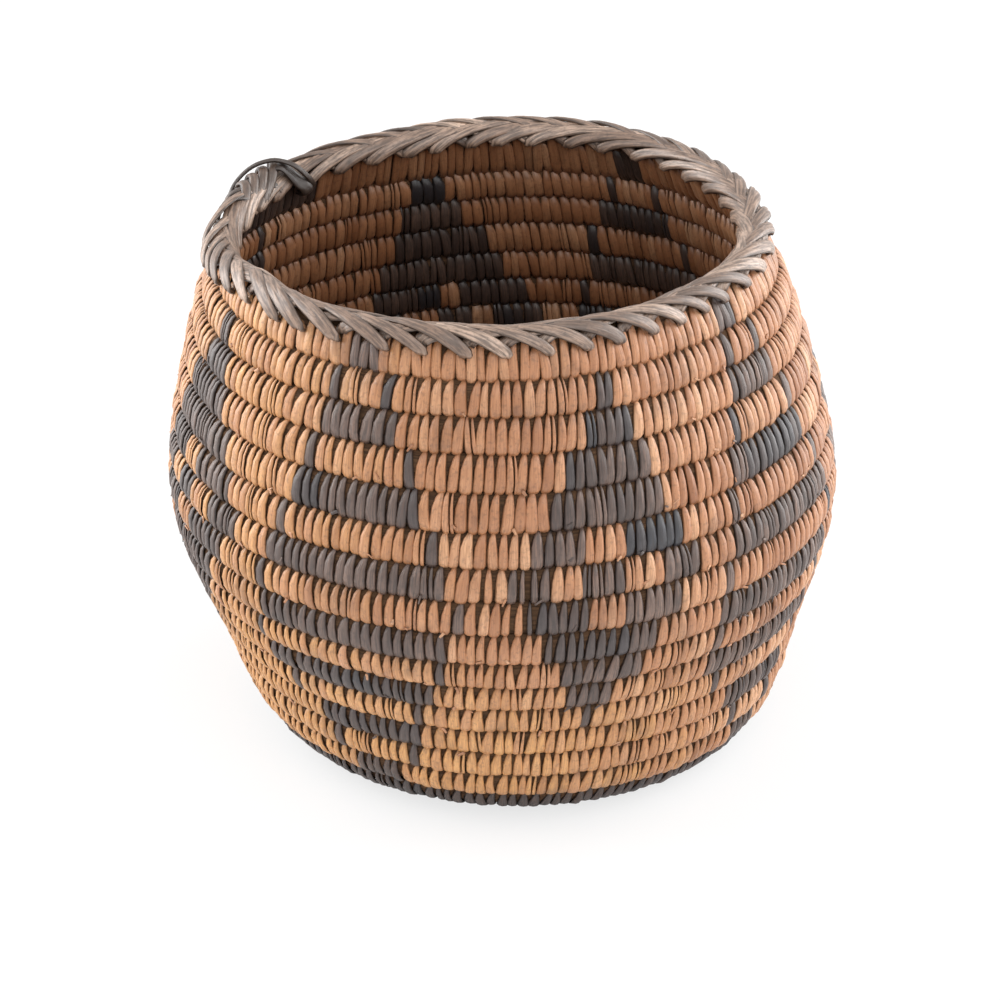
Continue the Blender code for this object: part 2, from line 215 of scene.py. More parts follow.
def splintMaterial(name, look):
    # split wood splint: three tones by the splint, streaks along it, stains and specks of grime, and
    # painted shade at its edges and ends; each layer goes over the last one by a smooth step, from one
    # depth to another
    made = bpy.data.materials.new(name)
    made.use_nodes = True
    tree = made.node_tree
    shader = tree.nodes["Principled BSDF"]
    paint = node(tree, "ShaderNodeAttribute", attribute_name="paint")
    channels = node(tree, "ShaderNodeSeparateColor", {0: paint.outputs["Color"]})
    tone, gold, edge = channels.outputs[0], channels.outputs[1], channels.outputs[2]
    along = node(tree, "ShaderNodeUVMap", uv_map="splint").outputs[0]
    squeeze = (1 / look["grainWide"], 1 / look["grainLong"], 1)
    grainPlace = node(tree, "ShaderNodeMapping", {"Vector": along, "Scale": squeeze}).outputs[0]
    stainPlace = node(tree, "ShaderNodeTexCoord").outputs["Object"]
    patterns = (  # place, scale, detail and roughness of the noise
        (grainPlace, 1.0, 3.0, 0.6),
        (stainPlace, 1 / (look["stainSize"] * mm), 3.0, 0.65),
        (stainPlace, 1 / (look["speckSize"] * mm), 2.0, 0.5))
    grain, stain, speck = (
        node(tree, "ShaderNodeTexNoise",
             {"Vector": place, "Scale": scale, "Detail": detail, "Roughness": roughness}).outputs[0]
        for place, scale, detail, roughness in patterns)
    layers = (  # value, where it starts and is full, depth there and there, and colour
        (tone, marks["middleTone"], (0.0, 1.0), "middle"),
        (tone, marks["lightTone"], (0.0, 1.0), "light"),
        (gold, marks["golden"], (0.0, marks["goldDepth"]), "gold"),
        (grain, marks["streaks"], (look["streakDepth"], 0.0), "streak"),
        (stain, marks["stains"], (0.0, look["stainDepth"]), "grimeAndShade"),
        (speck, marks["specks"], (0.0, look["speckDepth"]), "grimeAndShade"),
        # painted shade: a splint darkens towards its edges, where it meets its neighbours, so that it looks
        # rounded
        (edge, (look["edgeFrom"], 1.0), (0.0, look["edgeDepth"]), "grimeAndShade"),
        # painted shade: the ends of a splint and its parts in shade darken, by the paint's alpha
        (paint.outputs["Alpha"], marks["shadedEnd"], (0.0, look["endDepth"]), "grimeAndShade"))
    colour = linear(look["dark"])
    for value, (start, full), (atStart, atFull), over in layers:
        share = node(tree, "ShaderNodeMapRange", {0: value, 1: start, 2: full, 3: atStart, 4: atFull},
                     interpolation_type="SMOOTHSTEP").outputs[0]
        colour = node(tree, "ShaderNodeMix", {0: share, 6: colour, 7: linear(look[over])},
                      data_type="RGBA").outputs[2]
    tree.links.new(colour, shader.inputs["Base Color"])
    start, full = marks["grain"]
    rough = node(tree, "ShaderNodeMapRange",
                 {0: grain, 1: start, 2: full, 3: look["roughness"] + marks["rougher"],
                  4: look["roughness"] - marks["smoother"]}, interpolation_type="SMOOTHSTEP")
    tree.links.new(rough.outputs[0], shader.inputs["Roughness"])
    bump = node(tree, "ShaderNodeBump",
                {"Strength": look["bump"], "Distance": marks["grainDepth"] * mm, "Height": grain})
    tree.links.new(bump.outputs[0], shader.inputs["Normal"])
    shader.inputs["IOR"].default_value = marks["woodIor"]
    shader.inputs["Specular IOR Level"].default_value = look["gloss"]
    return made


# Sizes of the grain, stains and specks are in mm
# Willow splints split from the sapwood: warm tan with an orange cast, a satin scraped face
willow = splintMaterial("scraped willow splint", {
    "dark": "#96603c", "middle": "#bf865e", "light": "#dfac83", "streak": "#8e5b3a", "grimeAndShade": "#4a3122",
    "gold": "#e6ad68", "grainWide": 0.3, "grainLong": 3.2, "streakDepth": 0.52, "stainSize": 14.0,
    "stainDepth": 0.42, "speckSize": 0.7, "speckDepth": 0.34, "edgeFrom": 0.78, "edgeDepth": 0.75,
    "endDepth": 0.6, "roughness": 0.43, "bump": 0.85, "gloss": 0.7})
# Devil's claw splints: the black skin of the seed pod, which fades to grey-brown as it ages
claw = splintMaterial("devil's claw splint", {
    "dark": "#33353c", "middle": "#58453d", "light": "#84695b", "streak": "#2f2826", "grimeAndShade": "#1f1a18",
    "gold": "#58453d", "grainWide": 0.26, "grainLong": 4.0, "streakDepth": 0.68, "stainSize": 7.0,
    "stainDepth": 0.35, "speckSize": 0.8, "speckDepth": 0.3, "edgeFrom": 0.7, "edgeDepth": 0.8,
    "endDepth": 0.85, "roughness": 0.42, "bump": 1.0, "gloss": 0.72})
# Worn devil's claw on the rim: handled grey-brown, light where the ridges rub
wornClaw = splintMaterial("worn devil's claw splint", {
    "dark": "#4b3c33", "middle": "#967b69", "light": "#d2b5a0", "streak": "#4a3b32", "grimeAndShade": "#2b231f",
    "gold": "#937866", "grainWide": 0.26, "grainLong": 5.0, "streakDepth": 0.8, "stainSize": 6.0,
    "stainDepth": 0.3, "speckSize": 0.8, "speckDepth": 0.3, "edgeFrom": 0.74, "edgeDepth": 0.75,
    "endDepth": 0.7, "roughness": 0.4, "bump": 1.0, "gloss": 0.75})
# Split grass bundle inside the stitches: dry stems, matt and straw brown
grass = splintMaterial("split grass bundle", {
    "dark": "#453224", "middle": "#634832", "light": "#806247", "streak": "#32241a", "grimeAndShade": "#281d15",
    "gold": "#634832", "grainWide": 0.35, "grainLong": 9.0, "streakDepth": 0.8, "stainSize": 5.0,
    "stainDepth": 0.3, "speckSize": 1.2, "speckDepth": 0.3, "edgeFrom": 0.9, "edgeDepth": 0.2,
    "endDepth": 0.0, "roughness": 0.8, "bump": 0.9, "gloss": 0.15})

# The two sorts of splint in the wall: whether it is dark, its finish, its slot and its word in names
wallSplints = ((False, willow, "light_splint", "willow"), (True, claw, "dark_splint", "claw"))
grainSpread = 90.0  # mm over which the splints' places in the grain are drawn


# Making the pieces

def addToScene(name, data):
    made = bpy.data.objects.new(name, data)
    bpy.context.scene.collection.objects.link(made)
    return made


def drawTones(own, count):
    # normal about the piece's own tone, kept from 0 to 1
    return np.clip(rng.normal(own["tone"], own["toneSpread"], count), 0, 1)


def grainStarts(count):
    # mm to each splint's place in the grain, so that no two match
    return rng.random(count)[:, None, None] * grainSpread


def bandMarks(across, along, tone, golden=0.0, nearEdge=0.0, paintedShade=0.0):
    # each corner's uv, in mm across and along its band, and its paint: the tone, the golden share,
    # how near the edge is, for the painted shade at its edges, and how much painted shade this part has
    fields = np.broadcast_arrays(across, along, tone, golden, nearEdge, paintedShade)
    return np.stack(fields[:2], -1), np.stack(fields[2:], -1)


def makeBands(name, grid, uv, paint, closed, finish, nodes):
    # grid is (bands, rings, points, 3) in mm; each band is closed round its section, and along its
    # rings when closed, or else capped; uv and paint have a corner more than the points, and a ring
    # more than the rings when closed
    count, rings, points = grid.shape[:3]
    steps = rings if closed else rings - 1
    ring, side = np.meshgrid(np.arange(steps), np.arange(points), indexing="ij")
    ringCorners = np.stack([ring, ring + 1, ring + 1, ring], -1)
    sideCorners = np.stack([side, side, side + 1, side + 1], -1)
    own = ((ringCorners % rings) * points + sideCorners % points).reshape(1, -1, 4)
    drawn = (ringCorners * (points + 1) + sideCorners).reshape(1, -1, 4)
    band = np.arange(count)[:, None, None]
    drawnBand = band * uv.shape[1] * (points + 1)
    faces = (own + band * rings * points).reshape(-1, 4).tolist()
    corners = (drawn + drawnBand).reshape(-1)
    if not closed:
        loop = np.arange(points)
        caps = np.stack([loop, (rings - 1) * points + loop[::-1]])[None]
        drawnCaps = np.stack([loop, (rings - 1) * (points + 1) + loop[::-1]])[None]
        faces += (caps + band * rings * points).reshape(-1, points).tolist()
        corners = np.concatenate([corners, (drawnCaps + drawnBand).reshape(-1)])
    mesh = bpy.data.meshes.new(name)
    mesh.from_pydata((grid.reshape(-1, 3) * mm).tolist(), [], faces)
    mesh.shade_smooth()
    places = mesh.uv_layers.new(name="splint").uv
    places.foreach_set("vector", uv.reshape(-1, 2)[corners].astype(np.float32).ravel())
    colours = mesh.color_attributes.new("paint", "FLOAT_COLOR", "CORNER")
    colours.data.foreach_set("color", paint.reshape(-1, 4)[corners].astype(np.float32).ravel())
    mesh.materials.append(finish)
    piece = addToScene(name, mesh)
    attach(piece, "root")
    if nodes:
        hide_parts(*nodes)


# The rim's false braid: splints from holes outside the top course to holes inside it
rim = {
    "holes": 43, "firstHole": 282.1,  # degrees from +X
    "seat": 3.2, "across": 3.6, "rise": 4.8,  # mm: the oval that the legs lie on, and its depth
    "outerReach": (90.0, 54.0), "innerReach": (60.0, 62.0),  # degrees round the oval from the crest
    "steps": (-3, 4),  # holes from a leg's outer end to its inner one, of the two sets of legs
    "widths": (2.75, 2.95), "thick": 1.05, "layer": 0.36,
    "tuckFrom": -35.0, "tuck": 1.15,  # from this reach a leg draws in, to lie on the wall at its hole
    "widthStations": (-90, -55, 0, 40, 70), "widthShares": (0.88, 0.98, 0.8, 0.86, 0.9),  # by reach
    "ease": 0.6,  # share of a leg's run along the rim that is bunched at the crest
    "changeover": 18.0,  # degrees of reach in which the upper set of legs goes under
    "foldReach": 9.0, "foldDepth": 2.4, "foldRound": 0.55,  # how the rounded ends go into the wall
    "stations": 20, "foldStations": 5, "roll": 8.0,
    "holeSpread": 0.07, "widthSpread": 0.09, "reachSpread": 2.2,
    "wobble": 0.09, "wobbleWaves": (3, 7),  # mm, and radians of its two waves over a leg
    "tone": 0.6, "toneSpread": 0.19,
    "bridgeAngle": 161.0, "bridgeSpread": 11.0, "bridge": 2.4,  # mm that it stands over the end's dip
    "slopeArc": 0.5,  # mm to each side over which the wall's slope is measured
}
holePitch = 360 / rim["holes"]

# Where each stitch goes
sewing = {
    "spacing": 2.15,  # mm from stitch to stitch on the outer face
    "knotSpacing": 0.93, "leastPace": 12.0,  # share of it beside the knot, and mm a turn at least
    "mostDebt": 0.75,  # of a stitch, before one is added or left out
    "smoothings": 6, "paceStations": 2000,
    "startGap": 0.02, "endGap": 0.05,  # turns at the coil's ends that no stitch goes round
    "rimStitches": 172,  # stitches in the top course, four to each hole of the rim braid
    "rimPlaces": (-0.375, -0.125, 0.125, 0.375),  # their places round a hole, in holes
    "rimPair": -0.25,  # and the middle of the two under a leg's end
    "rimTurns": (0.6, 1.4),  # turns over which their spacing passes into the wall's
    "rimLean": 0.7, "rimBroad": 1.14,  # how those two lean together, mm, and broaden
    "rimLoose": 0.4,  # share of their lean that the other stitches of the top course keep
    "rimUnder": 0.62, "rimBetween": 1.2,  # how far the top course's stitches reach up, as a share
    "dipReach": 0.5,  # and how much further at the dip in the coil's end
    "placeSpread": 0.09,
    "fill": 1.09, "widthSpread": 0.065, "fillRange": (0.8, 1.17),  # share of its room that one covers
    "lean": 0.2, "leanSpread": 0.17,  # from a stitch's foot to its head, as a share of the spacing
    "leanRange": (1.0, 3.0),  # mm of spacing that counts for the lean
    "bendSpread": 0.065,  # share of the spacing
    "sunk": 0.06, "proudSpread": 0.11, "mostProud": 0.18,  # mm
    "splitShare": 0.09,  # stitches whose splint has split in two
    "splitMain": (0.58, 0.7), "splitGaps": (0.03, 0.05),  # share of the wider part, and what each loses
    "splitLean": 0.12, "splitSunk": 0.08, "splitTone": 0.1,  # how the narrower part differs
    "wornRows": (7, 9), "wornAngles": (267.0, 286.0), "wornShare": 0.22, "wornWidth": (0.45, 0.75),
    "endWraps": (136.0, 163.0),  # degrees where the top course is wrapped dark under the lashing
}


def topPlaces():
    # turns of the top course's stitches: the rim's holes, and the places round each
    holes = rim["holes"]
    hole = (rim["firstHole"] - basket["coilEndAngle"]) / 360 + np.arange(-holes, holes) / holes
    places = np.sort((hole[:, None] + np.array(sewing["rimPlaces"]) / holes).ravel())[::-1]
    return places[(places < 1.0) & (places > sewing["endGap"])]


def layStitches():
    # each stitch goes into the middle of a gap of the course below; a running debt of spacing adds
    # a stitch where the course has grown and leaves one out where it has shrunk
    turn = np.linspace(0, basket["coilStart"], sewing["paceStations"])
    centre, outward, up, forward, halfThick, halfWide = courseSection(turn)
    face = centre + outward * halfThick[:, None]
    pace = np.linalg.norm(np.gradient(face, axis=0), axis=1) / (turn[1] - turn[0])  # mm a turn
    rimSpacing = np.interp(0.5, turn, pace) / sewing["rimStitches"]  # measured halfway round
    first = basket["coilStart"] - sewing["startGap"]
    places = [first]
    while places[-1] > first - 1:
        herePace = max(np.interp(places[-1], turn, pace), sewing["leastPace"])
        places.append(places[-1] - sewing["spacing"] * sewing["knotSpacing"] / herePace)
    below = 0
    debt = 0.0
    previous = places[-1]
    while True:
        middle = (places[below] + places[below + 1]) / 2 - 1
        below += 1
        if middle < sewing["endGap"]:
            break
        if middle >= previous:
            continue
        spacing = np.interp(middle, sewing["rimTurns"], (rimSpacing, sewing["spacing"]))
        step = (previous - middle) * np.interp(middle, turn, pace)
        debt += step / spacing - 1
        if debt < -sewing["mostDebt"]:
            debt += 1
            previous = middle
            continue
        if debt > sewing["mostDebt"]:
            debt -= 1
            places.append(middle + (previous - middle) * 0.5)
        places.append(middle)
        previous = middle
    places = np.array(places)
    for smoothing in range(sewing["smoothings"]):  # half of itself and a quarter of each neighbour
        places[1:-1] = 0.5 * places[1:-1] + 0.25 * (places[:-2] + places[2:])
    places = np.concatenate([places[places > 1.0], topPlaces()])
    places += rng.normal(0, sewing["placeSpread"], len(places)) * np.gradient(places)
    return places, np.interp(places, turn, pace)


stitchTurns, stitchPace = layStitches()
stitchMiddles = (stitchTurns[1:] + stitchTurns[:-1]) / 2
stitchEdges = np.concatenate([[stitchTurns[0]], stitchMiddles, [stitchTurns[-1]]])
stitchGaps = stitchEdges[:-1] - stitchEdges[1:]  # each stitch's room, in turns
stitchTurns = (stitchEdges[:-1] + stitchEdges[1:]) / 2
stitchRows = np.floor(stitchTurns).astype(int) + 1
stitchAngles = np.degrees(turnAngle(stitchTurns)) % 360
print(f"sewing: {len(stitchTurns)} stitches, {np.sum(stitchRows == 1)} in the top course,"
      f" {np.sum(stitchRows == basket['beltCourse'])} at the belt")

# Traditional pattern, four times round: a striped diamond, then a chequered one. Angles are degrees
striped = {"centres": (245.0, 330.5, 59.0, 155.0), "middleRow": 8, "halfWidth": 18.0, "taper": 2.1,
           "drift": 0.15, "lowSide": ((8, 11, 13, 16), (0, 9, 5, 3))}  # row, degrees wider
chequered = {"centres": (288.5, 15.0, 101.5, 203.0), "wider": (0.0, 0.0, 2.2, 0.0), "middleRow": 7,
             "halfWidth": 17.6, "taperUp": 3.15, "taperDown": 3.4, "drift": 0.9, "rows": (2, 12),
             "windows": ((6, -1.2, 2.9), (7, -7.2, 2.9), (7, 6.5, 3.4), (8, -0.2, 3.3))}  # row, aside, half


def asideFrom(angle, centre):
    # degrees from the centre, from -180 to 180
    return (angle - centre + 180) % 360 - 180


def darkStitches(row, angle, halfStitch):
    # striped: |angle - centre| < half width on odd rows, only the outermost stitches on even rows,
    # and wider towards one side low down; chequered: solid, with light windows in its middle rows
    dark = row >= basket["wallCourses"]
    for centre in striped["centres"]:
        above = striped["middleRow"] - row
        aside = asideFrom(angle, centre + striped["drift"] * above)
        half = striped["halfWidth"] - striped["taper"] * np.abs(above)
        half = half + np.where(aside < 0, np.interp(row, *striped["lowSide"]), 0)
        away = np.abs(aside)
        dark = dark | np.where(row % 2 == 1, away < half, np.abs(away - half) < halfStitch)
    for centre, wider in zip(chequered["centres"], chequered["wider"]):
        above = chequered["middleRow"] - row
        aside = asideFrom(angle, centre + chequered["drift"] * above)
        taper = np.where(above > 0, chequered["taperUp"], -chequered["taperDown"]) * above
        half = np.maximum(chequered["halfWidth"] + wider - taper, halfStitch)
        solid = (np.abs(aside) < half) & between(row, *chequered["rows"])
        for number, shift, size in chequered["windows"]:
            solid = solid & ~((row == number) & (np.abs(aside - shift) < size))
        dark = dark | solid
    return dark


stitchDark = darkStitches(stitchRows, stitchAngles, stitchGaps * 180)
stitchDark |= (stitchRows == 1) & between(stitchAngles, *sewing["endWraps"])

# Tones of the splints, from 0 dark to 1 light
tones = {
    "run": 9,  # stitches that one splint sews, on average
    "light": 0.52, "lightSpread": 0.15, "runSpread": 0.14,
    "paintedLight": 0.18, "paintedLightAngle": 322.0,  # painted light: tone that the low wall gains towards this angle, the side that is lit more
    "blue": 0.1, "brown": 0.66, "darkSpread": 0.12,
    "blueShare": 0.07,  # runs of claw that kept its blue-black skin, and where such runs are seen
    "bluePlaces": ((6, 292.0, 305.0), (5, 231.0, 239.0), (5, 322.0, 338.0), (13, 224.0, 262.0)),
    "lowTurns": (8.0, 12.0),  # where the wall passes into its golden lower part
    "goldLow": 226.0, "goldHigh": 212.0,  # angles that are the most golden, low down and higher up
    "goldEven": 0.25, "goldSwing": 0.68, "goldUp": 0.55, "goldSpread": 0.25,
}
stitchLow = np.interp(stitchTurns, tones["lowTurns"], (0, 1))


def towards(angle):
    # cosine of each stitch's angle from this one
    return np.cos(np.radians(stitchAngles - angle))


def splintTones():
    # one splint sews a run of neighbouring stitches, so the tone changes from run to run
    count = len(stitchTurns)
    changes = np.append(True, stitchDark[1:] != stitchDark[:-1])
    run = np.cumsum((rng.random(count) < 1 / tones["run"]) | changes) - 1
    runTone = tones["runSpread"] * rng.normal(0, 1, run[-1] + 1)[run]
    blueRun = rng.random(run[-1] + 1) < tones["blueShare"]
    light = tones["light"] + runTone + rng.normal(0, tones["lightSpread"], count)
    # painted light: the low wall is lighter towards one side
    light += tones["paintedLight"] * stitchLow * np.maximum(towards(tones["paintedLightAngle"]), 0)
    blue = blueRun[run] | (stitchRows >= basket["wallCourses"])
    for row, low, high in tones["bluePlaces"]:
        blue = blue | ((stitchRows == row) & between(stitchAngles, low, high))
    dark = np.where(blue, tones["blue"], tones["brown"]) + runTone
    dark += rng.normal(0, tones["darkSpread"], count)
    return np.clip(np.where(stitchDark, dark, light), 0, 1)


def goldenShares():
    # low down even + swing cos(angle - low), and higher up as cos(angle - high)^3
    low = tones["goldEven"] + tones["goldSwing"] * towards(tones["goldLow"])
    high = tones["goldUp"] * np.maximum(towards(tones["goldHigh"]), 0) ** 3
    share = stitchLow * low + (1 - stitchLow) * high
    return np.clip(share * rng.normal(1.0, tones["goldSpread"], len(share)), 0, 1)


stitchTones = splintTones()

# One stitch: a band round the course, widest on its faces and narrow where it goes through
stitch = {
    "angles": (0, 28, 52, 80, 108, 134, 156, 180, 212, 248, 292, 328),  # from the top by the outside
    "widths": (0.2, 0.39, 0.66, 0.89, 1.0, 1.0, 0.85, 0.42, 0.8, 1.0, 1.0, 0.75),
    "ends": (1.0, 0.7, 0.25, 0.0, 0.0, 0.1, 0.6, 1.0, 0.75, 0.64, 0.64, 0.8, 1.0),  # painted shade: darker where it goes between the courses and on the inside of the wall
    "section": (-1.0, -0.62, 0.0, 0.62, 1.0),  # across, as a share of half the width
    "crown": (-0.5, -0.16, 0.0, -0.07, -0.38),  # mm below the ridge: one edge goes under the next
    "crownWidth": 1.9,  # mm: a narrower stitch has less of a crown
    "topRound": 2.1, "bottomRound": 2.7,  # exponents of the superellipse
    "topDip": 0.15, "bottomDip": 0.24,  # how far the ends reach past the course's edges
    "hook": 0.7, "rimHook": 0.95,  # how far the top end keeps to a side: 1 leaves that edge straight
    "girth": 1.25,  # radius of a stitch's way round, in half walls
}


def shapeStitches():
    # each stitch's traits, as arrays with one value a stitch
    count = len(stitchTurns)
    spacing = stitchGaps * stitchPace
    fill = np.clip(rng.normal(sewing["fill"], sewing["widthSpread"], count), *sewing["fillRange"])
    width = spacing * fill
    worn = between(stitchRows, *sewing["wornRows"]) & between(stitchAngles, *sewing["wornAngles"])
    worn &= rng.random(count) < sewing["wornShare"]
    width = np.where(worn, width * rng.uniform(*sewing["wornWidth"], count), width)
    lean = rng.normal(sewing["lean"], sewing["leanSpread"], count)
    lean = lean * np.clip(spacing, *sewing["leanRange"])
    bend = spacing * rng.normal(0, sewing["bendSpread"], count)
    proud = rng.normal(0, sewing["proudSpread"], count)
    proud = np.clip(proud, -sewing["mostProud"], sewing["mostProud"]) - sewing["sunk"]
    gold = goldenShares()
    # the two stitches before each hole are short and lean together, the two after it reach up
    fromHole = ((stitchAngles - rim["firstHole"]) / holePitch + 0.5) % 1 - 0.5
    onTop = stitchRows == 1
    under = onTop & (fromHole < 0)
    together = -np.sign(fromHole - sewing["rimPair"])
    lean = np.where(onTop, lean * sewing["rimLoose"], lean)
    lean = np.where(under, together * sewing["rimLean"], lean)
    hook = np.where(under, together * stitch["rimHook"], stitch["hook"])
    width = np.where(under, width * sewing["rimBroad"], width)
    atDip = np.exp(-(((stitchAngles - rim["bridgeAngle"]) / rim["bridgeSpread"]) ** 2))
    reachUp = np.where(under, sewing["rimUnder"], sewing["rimBetween"]) + sewing["dipReach"] * atDip
    return {"turn": stitchTurns, "row": stitchRows, "dark": stitchDark, "tone": stitchTones,
            "gold": gold, "width": width, "lean": lean, "bend": bend, "hook": hook, "proud": proud,
            "reachUp": np.where(onTop, reachUp, 1.0)}


def splitStitches(traits):
    # a split stitch becomes a wider part and a narrower one beside it, each moved by half of the
    # other's width, with a thin gap between
    width = traits["width"]
    split = (rng.random(len(width)) < sewing["splitShare"]) & (traits["row"] > 1)
    main = rng.uniform(*sewing["splitMain"], len(width))
    mainGap, otherGap = sewing["splitGaps"]
    wider = dict(traits)
    other = {trait: values[split] for trait, values in traits.items()}
    wider["turn"] = traits["turn"] - np.where(split, (1 - main) * width / 2, 0) / stitchPace
    other["turn"] = (traits["turn"] + main * width / 2 / stitchPace)[split]
    wider["width"] = np.where(split, width * (main - mainGap), width)
    other["width"] = (width * (1 - otherGap - main))[split]
    other["lean"] = other["lean"] + rng.normal(0, sewing["splitLean"], split.sum())
    other["proud"] = other["proud"] - sewing["splitSunk"]
    other["tone"] = np.clip(other["tone"] - sewing["splitTone"], 0, 1)
    return {trait: np.concatenate([wider[trait], other[trait]]) for trait in traits}


def stitchBands(own):
    # superellipse round the course: outward a |sin|^(2/n), upward b |cos|^(2/n), each with its sign;
    # the crown lowers the edges along its normal; lean, bend and hook shift it along the course
    centre, outward, up, forward, halfThick, halfWide = courseSection(own["turn"])
    width, lean, bend, hook, proud, reachUp = (
        own[trait][:, None] for trait in ("width", "lean", "bend", "hook", "proud", "reachUp"))
    angle = np.radians(stitch["angles"])
    sine, cosine = np.sin(angle), np.cos(angle)
    above = cosine > 0
    power = 2 / np.where(above, stitch["topRound"], stitch["bottomRound"])
    dip = 1 + np.where(above, stitch["topDip"], stitch["bottomDip"])
    out = np.sign(sine) * np.abs(sine) ** power * halfThick[:, None]
    rise = np.sign(cosine) * np.abs(cosine) ** power * dip * halfWide[:, None]
    rise = rise * np.where(above, reachUp, 1)
    normal = unit(np.stack([sine * halfWide[:, None], cosine * halfThick[:, None]], -1))
    crown = np.array(stitch["crown"]) * np.minimum(width / stitch["crownWidth"], 1) + proud
    depth = crown[:, None, :]
    widths = np.array(stitch["widths"])
    shift = lean * cosine / 2 + bend * sine ** 2 + hook * width * (1 - widths) * above / 2
    across = (width / 2 * widths)[..., None] * np.array(stitch["section"]) + shift[..., None]
    outward, up, forward = (vector[:, None, None, :] for vector in (outward, up, forward))
    grid = (centre[:, None, None, :] + outward * (out[..., None] + normal[..., :1] * depth)[..., None]
            + up * (rise[..., None] + normal[..., 1:] * depth)[..., None] + forward * across[..., None])
    grid[..., 2] = np.maximum(grid[..., 2], basket["overFloor"])
    return grid


def stitchPaint(own):
    # across is width / 2 times the section's share, and along is the radius times the angle
    count = len(own["width"])
    angle = np.radians(stitch["angles"] + (360,))
    reach = basket["wall"] / 2 * stitch["girth"] * angle
    section = np.array(stitch["section"] + (-1.0,))
    width, tone, gold = (own[trait][:, None, None] for trait in ("width", "tone", "gold"))
    across = width / 2 * section + grainStarts(count)
    along = reach[None, :, None] + grainStarts(count)
    return bandMarks(across, along, tone, gold, np.abs(section), np.array(stitch["ends"])[:, None])


def sewRows():
    # every course as one piece of light and one of dark splints
    traits = splitStitches(shapeStitches())
    for number in range(1, basket["courses"] + 1):
        cadNode = f"wall_stitch_row_{number:02d}"
        if number > basket["wallCourses"]:
            cadNode = f"base_stitch_row_{number - basket['wallCourses']}"
        for isDark, finish, slotName, word in wallSplints:
            mine = (traits["row"] == number) & (traits["dark"] == isDark)
            if not mine.any():
                continue
            own = {trait: values[mine] for trait, values in traits.items()}
            uv, paint = stitchPaint(own)
            makeBands(f"{word}_{cadNode}", stitchBands(own), uv, paint, True, finish, [cadNode])
    print("stitches sewn")


sewRows()

# The bundle, seen only in the gaps between stitches
bundle = {
    "stationsPerTurn": 72, "sides": 12,
    "underFace": 0.65, "pastEdge": 0.3, "least": 0.4, "round": 18,  # mm
    "tone": 0.4,
}


def windBundle():
    # ellipse carried along the coil: half axes a less what it lies under the stitches' face, and b
    # plus what it reaches past the course's edge, so that no light comes through between courses
    sides = bundle["sides"]
    count = int((basket["coilStart"] - basket["endCut"]) * bundle["stationsPerTurn"])
    turn = np.linspace(basket["coilStart"], basket["endCut"], count)
    centre, outward, up, forward, halfThick, halfWide = courseSection(turn)
    angle = np.linspace(0, 2 * np.pi, sides, endpoint=False)
    deep = np.maximum(halfThick - bundle["underFace"], bundle["least"])[:, None] * np.sin(angle)
    high = np.maximum(halfWide + bundle["pastEdge"], bundle["least"])[:, None] * np.cos(angle)
    grid = centre[:, None] + outward[:, None] * deep[..., None] + up[:, None] * high[..., None]
    grid = grid[None, :, ::-1]
    length = np.concatenate([[0], np.cumsum(np.linalg.norm(np.diff(centre, axis=0), axis=1))])
    across = np.linspace(0, bundle["round"], sides + 1)
    uv, paint = bandMarks(across, length[None, :, None], bundle["tone"])
    makeBands("grass_foundation_coil", grid, uv, paint, False, grass, ["foundation_coil"])
    print(f"bundle wound: {length[-1] / 1000:.2f} m")


windBundle()

# A flat splint: its section as shares of half the width and half the thickness, with a groove in
# its face, and the mm round it
splint = {
    "across": (-1.0, -0.84, -0.5, -0.12, 0.2, 0.58, 0.86, 1.0, 0.5, -0.5),
    "depth": (-0.1, 0.5, 0.95, 0.76, 1.0, 0.8, 0.42, -0.2, -0.75, -0.75),
    "round": 2.6,
}


def splintGrid(points, normals, widths, thick, roll=0.0):
    # section carried along each path: side = normal x forward, rolled about the path by an angle
    forward = unit(np.gradient(points, axis=1))
    side = unit(np.cross(normals, forward))
    face = np.cross(forward, side)
    sine, cosine = np.sin(np.radians(roll)), np.cos(np.radians(roll))
    side, face = side * cosine + face * sine, face * cosine - side * sine
    across = np.array(splint["across"])[None, None, :, None] * widths[..., None, None] / 2
    depth = np.array(splint["depth"])[None, None, :, None] * thick / 2
    return points[:, :, None] + side[:, :, None] * across + face[:, :, None] * depth


def splintPaint(grid, tone, endShade):
    # across is the way round the section, and along is the running length of the first edge
    count, points = grid.shape[0], grid.shape[2]
    length = np.linalg.norm(np.diff(grid[:, :, 0], axis=1), axis=-1).cumsum(axis=1)
    length = np.pad(length, ((0, 0), (1, 0)))
    across = splint["round"] * np.linspace(0, 1, points + 1) + grainStarts(count)
    along = length[..., None] + grainStarts(count)
    section = np.array(splint["across"] + (-1.0,))
    return bandMarks(across, along, tone[:, None, None], 0.0, np.abs(section), endShade[..., None])


def saddle(turn, reach, lift):
    # oval round the rim's seat: outward -(across + lift) sin(reach), up (rise + lift) cos(reach), with
    # reach in degrees from the crest, negative outside; also the normal of the oval there. The seat
    # rises over the dip at the coil's end by a bell curve, as a braid that spans it does
    turn = turn % 1
    fromDip = asideFrom(np.degrees(turnAngle(turn)), rim["bridgeAngle"])
    arc = upperEdge(turn) + rim["seat"] - rim["bridge"] * np.exp(-(fromDip / rim["bridgeSpread"]) ** 2)
    up = unit(wallPoint(arc - rim["slopeArc"], turn) - wallPoint(arc + rim["slopeArc"], turn))
    outward = unit(np.cross(alongCoil(arc, turn), up))
    sine, cosine = np.sin(np.radians(reach))[..., None], np.cos(np.radians(reach))[..., None]
    across = (rim["across"] + lift)[..., None]
    rise = (rim["rise"] + lift)[..., None]
    point = wallPoint(arc, turn) - outward * across * sine + up * rise * cosine
    return point, unit(-outward * sine / across + up * cosine / rise)


